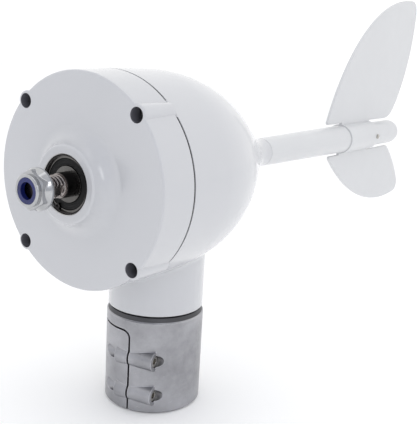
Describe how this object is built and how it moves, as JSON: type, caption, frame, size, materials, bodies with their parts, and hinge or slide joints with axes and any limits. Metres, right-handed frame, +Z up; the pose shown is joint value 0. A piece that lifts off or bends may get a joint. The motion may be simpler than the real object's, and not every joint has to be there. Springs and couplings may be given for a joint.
{
  "type": "wind turbine generator head with tail and pole clamp",
  "caption": "Small horizontal-axis wind turbine generator head: white housing, M18 stud with flange nut, tail boom and fin, yawing on a split pole clamp.",
  "frame": {"origin": "centre of the pole bore at the clamp's lower face, on the yaw axis", "axes": "+Z up along the yaw axis, -Y towards the rotor stud and nut, +Y towards the tail"},
  "size_m": [0.1768, 0.7557, 0.406],
  "materials": {
    "white_paint": "gloss white powder coat",
    "white_boom": "satin white powder coat",
    "white_fin": "satin white powder coat on sheet",
    "white_plastic": "moulded",
    "cast_grey": "satin die casting",
    "stainless": "brushed",
    "steel": "turned",
    "black_steel": "blackened",
    "spring_steel": "phosphated",
    "bearing_steel": "ground and polished",
    "chrome": "bright plated",
    "nylon": "smooth",
    "rubber": "matte",
    "insulator": "moulded",
    "brass": "turned",
    "copper": "enamelled copper wire",
    "carbon": "pressed graphite",
    "lead_jacket": "smooth",
    "laminations": "stacked sheet",
    "cast_iron": "machined",
    "magnet": "nickel plated"
  },
  "bodies": {
    "clamp": {"clamp_collar": "cast_grey", "clamp_screws": "stainless", "yaw_spindle": "steel", "spindle_screws": "black_steel", "lead_grommet": "rubber", "yaw_bearing_inner_rings": "bearing_steel", "yaw_inner_spacer": "steel", "yaw_lock_nut": "steel", "slip_ring_sleeve": "insulator", "slip_rings": "brass"},
    "head": {"main_housing": "white_paint", "front_cover": "white_paint", "seam_gasket": "rubber", "cover_screws": "stainless", "front_circlip": "spring_steel", "front_bearing_outer_ring": "bearing_steel", "front_bearing_seals": "rubber", "rear_bearing_outer_ring": "bearing_steel", "preload_washer": "spring_steel", "yaw_bearing_outer_rings": "bearing_steel", "yaw_outer_spacer": "steel", "neck_circlip": "spring_steel", "neck_dust_seal": "rubber", "stator_core": "laminations", "stator_windings": "copper", "brush_holder": "insulator", "carbon_brushes": "carbon", "brush_springs": "spring_steel", "brush_cap": "insulator", "holder_screws": "stainless", "terminal_screws": "brass", "phase_leads": "lead_jacket", "tail_boom": "white_boom", "boom_set_screw": "black_steel", "boom_end_cap": "white_plastic", "tail_fin": "white_fin", "fin_screw": "stainless"},
    "rotor": {"rotor_shaft": "steel", "rotor_key": "steel", "rotor_core": "cast_iron", "rotor_magnets": "magnet", "front_bearing_inner_ring": "bearing_steel", "rear_bearing_inner_ring": "bearing_steel", "rear_bearing_spacer": "steel"},
    "nut": {"hub_nut": "chrome", "nut_insert": "nylon"},
    "rotor_balls": {"rotor_bearing_balls": "bearing_steel"},
    "yaw_balls": {"yaw_bearing_balls": "bearing_steel"}
  },
  "joints": [
    {"name": "yaw", "type": "hinge", "parent": "clamp", "child": "head", "pos_m": [0, 0, 0.13], "axis": [0, 0, 1], "continuous": true},
    {"name": "rotor_spin", "type": "hinge", "parent": "head", "child": "rotor", "pos_m": [0, -0.1, 0.217], "axis": [0, 1, 0], "continuous": true},
    {"name": "nut_off", "type": "slide", "parent": "rotor", "child": "nut", "axis": [0, -1, 0], "range_m": [0, 0.06]},
    {"name": "rotor_balls_orbit", "type": "hinge", "parent": "head", "child": "rotor_balls", "pos_m": [0, -0.09, 0.217], "axis": [0, 1, 0], "continuous": true},
    {"name": "yaw_balls_orbit", "type": "hinge", "parent": "clamp", "child": "yaw_balls", "pos_m": [0, 0, 0.12], "axis": [0, 0, 1], "continuous": true}
  ],
  "couplings": [
    {"joint": "rotor_balls_orbit", "follows": "rotor_spin", "ratio": 0.379},
    {"joint": "yaw_balls_orbit", "follows": "yaw", "ratio": 0.588}
  ]
}
